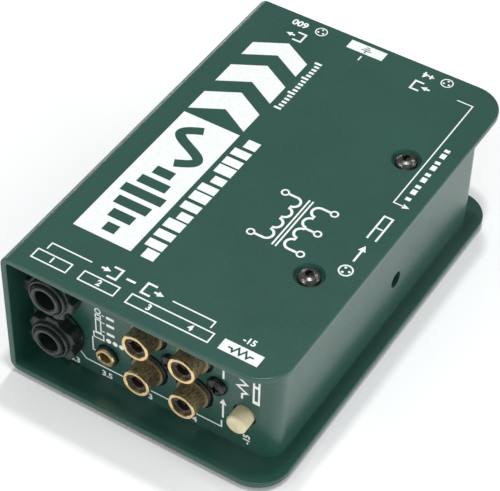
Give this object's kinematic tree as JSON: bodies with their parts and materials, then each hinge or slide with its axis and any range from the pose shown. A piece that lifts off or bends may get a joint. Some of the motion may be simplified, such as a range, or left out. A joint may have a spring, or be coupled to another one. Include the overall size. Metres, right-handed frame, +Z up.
{
  "type": "direct injection box",
  "caption": "Small direct injection box: a folded steel cover overhangs a chassis with jack and phono sockets at one end and XLR sockets at the other.",
  "frame": {"origin": "middle of the no-slip pad's underside, which stands on the table", "axes": "+Z up; -Y the end with the jack and phono sockets, +Y the XLR end; +X the open side of the cover"},
  "size_m": [0.084, 0.1284, 0.0461],
  "materials": {
    "cover_paint": "semi-gloss dark green enamel",
    "chassis_paint": "semi-gloss dark green enamel",
    "rubber_pad": "matt black no-slip rubber",
    "screw_steel": "dark zinc plating",
    "black_screw": "black oxide",
    "plated_steel": "bright zinc plating",
    "jack_plastic": "fine moulded satin black",
    "gold_plate": "polished gold plating",
    "insulator_plastic": "moulded satin",
    "button_cream": "satin cream",
    "plunger_plastic": "satin off-white",
    "silver_plate": "polished silver plating",
    "latch_plastic": "smooth black",
    "board_green": "solder mask over glass board",
    "can_steel": "drawn nickel-plated steel",
    "core_steel": "laminated",
    "bobbin_plastic": "moulded nylon",
    "copper_wire": "enamelled copper",
    "resistor_coat": "lacquer",
    "capacitor_box": "moulded box"
  },
  "bodies": {
    "case": {"chassis": "chassis_paint", "circuit_board": "board_green", "clinch_nuts": "plated_steel", "cover": "cover_paint", "cover_screws": "screw_steel", "film_capacitors": "capacitor_box", "jack_body_lower": "jack_plastic", "jack_body_upper": "jack_plastic", "jack_contacts_lower": "plated_steel", "jack_contacts_upper": "plated_steel", "jack_nut_lower": "jack_plastic", "jack_nut_upper": "jack_plastic", "jack_washer_lower": "jack_plastic", "jack_washer_upper": "jack_plastic", "lift_switch_body": "jack_plastic", "mini_jack_body": "jack_plastic", "mini_jack_contacts": "plated_steel", "mini_jack_ring": "gold_plate", "no_slip_pad": "rubber_pad", "nut_brackets": "plated_steel", "pad_switch_body": "jack_plastic", "phono_block_left": "jack_plastic", "phono_block_right": "jack_plastic", "phono_contact_left_lower": "gold_plate", "phono_contact_left_upper": "gold_plate", "phono_contact_right_lower": "gold_plate", "phono_contact_right_upper": "gold_plate", "phono_insulator_left_lower": "insulator_plastic", "phono_insulator_left_upper": "insulator_plastic", "phono_insulator_right_lower": "insulator_plastic", "phono_insulator_right_upper": "insulator_plastic", "phono_screws": "black_screw", "phono_shell_left_lower": "gold_plate", "phono_shell_left_upper": "gold_plate", "phono_shell_right_lower": "gold_plate", "phono_shell_right_upper": "gold_plate", "resistors": "resistor_coat", "select_switch_body": "jack_plastic", "transformer_bobbin": "bobbin_plastic", "transformer_can": "can_steel", "transformer_core": "core_steel", "transformer_winding": "copper_wire", "xlr_in_contacts": "silver_plate", "xlr_in_housing": "jack_plastic", "xlr_in_insert": "jack_plastic", "xlr_out_housing": "jack_plastic", "xlr_out_insert": "jack_plastic", "xlr_out_pins": "silver_plate", "xlr_screws": "black_screw"},
    "pad_button": {"pad_cap": "button_cream", "pad_plunger": "plunger_plastic"},
    "lift_button": {"lift_cap": "button_cream", "lift_plunger": "plunger_plastic"},
    "select_button": {"select_plunger": "plunger_plastic"},
    "xlr_latch": {"xlr_in_latch": "latch_plastic"}
  },
  "joints": [
    {"name": "pad_button_press", "type": "slide", "parent": "case", "child": "pad_button", "axis": [0, 1, 0], "range_m": [0, 0.0025], "stiffness_N_per_m": 300, "springref_m": -0.004},
    {"name": "lift_button_press", "type": "slide", "parent": "case", "child": "lift_button", "axis": [0, -1, 0], "range_m": [0, 0.0025], "stiffness_N_per_m": 300, "springref_m": -0.004},
    {"name": "select_button_press", "type": "slide", "parent": "case", "child": "select_button", "axis": [-1, 0, 0], "range_m": [0, 0.002], "stiffness_N_per_m": 300, "springref_m": -0.004},
    {"name": "xlr_latch_release", "type": "slide", "parent": "case", "child": "xlr_latch", "axis": [0, -1, 0], "range_m": [0, 0.0015], "stiffness_N_per_m": 400, "springref_m": -0.003}
  ]
}
